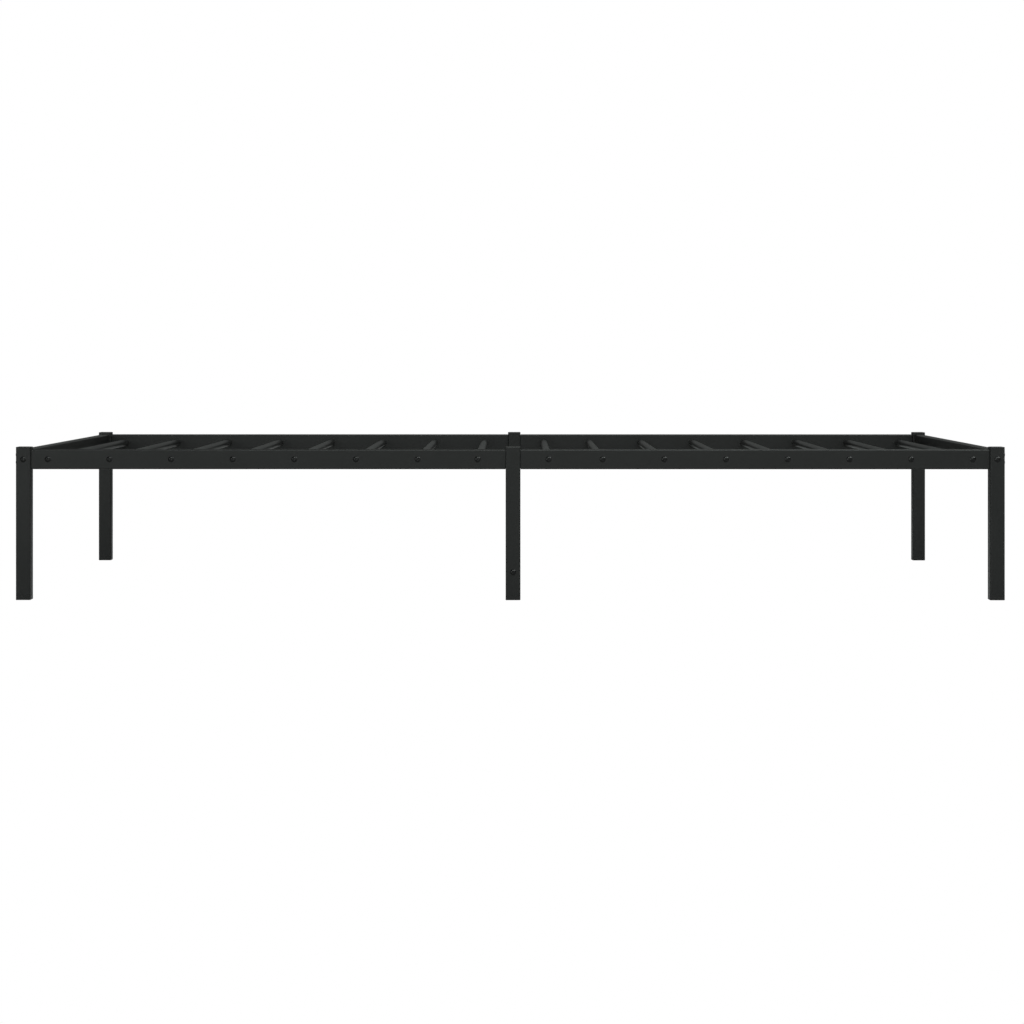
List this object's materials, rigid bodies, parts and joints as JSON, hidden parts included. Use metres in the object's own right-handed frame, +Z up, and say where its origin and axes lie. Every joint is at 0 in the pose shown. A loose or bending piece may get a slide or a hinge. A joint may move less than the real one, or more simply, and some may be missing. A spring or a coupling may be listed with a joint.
{
  "type": "metal bed frame",
  "caption": "Low black steel platform bed frame: square legs, rectangular side and end rails, and round tube slats bolted between the side rails to carry a mattress.",
  "frame": {"origin": "on the floor, under the middle of the frame's bounding box", "axes": "+X along the length, towards the right end seen from the front; +Y across the width, from the front side to the rear side; +Z up"},
  "size_m": [2.0046, 1.1046, 0.31],
  "materials": {
    "black_powder_coat": "black powder coat on steel tube, fine satin texture",
    "black_plastic": "moulded black plastic end plug, matt",
    "black_bolt": "black button-head socket bolt, semi-gloss"
  },
  "bodies": {
    "root": {"leg_front_left": "black_powder_coat", "leg_front_right": "black_powder_coat", "leg_rear_left": "black_powder_coat", "leg_rear_right": "black_powder_coat", "mid_leg_front": "black_powder_coat", "mid_leg_rear": "black_powder_coat", "side_rail_front_left": "black_powder_coat", "side_rail_front_right": "black_powder_coat", "side_rail_rear_left": "black_powder_coat", "side_rail_rear_right": "black_powder_coat", "end_rail_left": "black_powder_coat", "end_rail_right": "black_powder_coat", "tie_bar": "black_powder_coat", "slat_01": "black_powder_coat", "slat_02": "black_powder_coat", "slat_03": "black_powder_coat", "slat_04": "black_powder_coat", "slat_05": "black_powder_coat", "slat_06": "black_powder_coat", "slat_07": "black_powder_coat", "slat_08": "black_powder_coat", "slat_09": "black_powder_coat", "slat_10": "black_powder_coat", "slat_11": "black_powder_coat", "slat_12": "black_powder_coat", "slat_13": "black_powder_coat", "slat_14": "black_powder_coat", "slat_15": "black_powder_coat", "slat_16": "black_powder_coat", "top_cap_front_left": "black_plastic", "top_cap_front_right": "black_plastic", "top_cap_rear_left": "black_plastic", "top_cap_rear_right": "black_plastic", "top_cap_mid_front": "black_plastic", "top_cap_mid_rear": "black_plastic", "foot_front_left": "black_plastic", "foot_front_right": "black_plastic", "foot_rear_left": "black_plastic", "foot_rear_right": "black_plastic", "foot_mid_front": "black_plastic", "foot_mid_rear": "black_plastic", "end_rail_bolt_front_left": "black_bolt", "side_rail_bolt_front_left_upper": "black_bolt", "side_rail_bolt_front_left_lower": "black_bolt", "end_rail_bolt_front_right": "black_bolt", "side_rail_bolt_front_right_upper": "black_bolt", "side_rail_bolt_front_right_lower": "black_bolt", "end_rail_bolt_rear_left": "black_bolt", "side_rail_bolt_rear_left_upper": "black_bolt", "side_rail_bolt_rear_left_lower": "black_bolt", "end_rail_bolt_rear_right": "black_bolt", "side_rail_bolt_rear_right_upper": "black_bolt", "side_rail_bolt_rear_right_lower": "black_bolt", "tie_bolt_front": "black_bolt", "tie_bolt_rear": "black_bolt"}
  },
  "joints": []
}
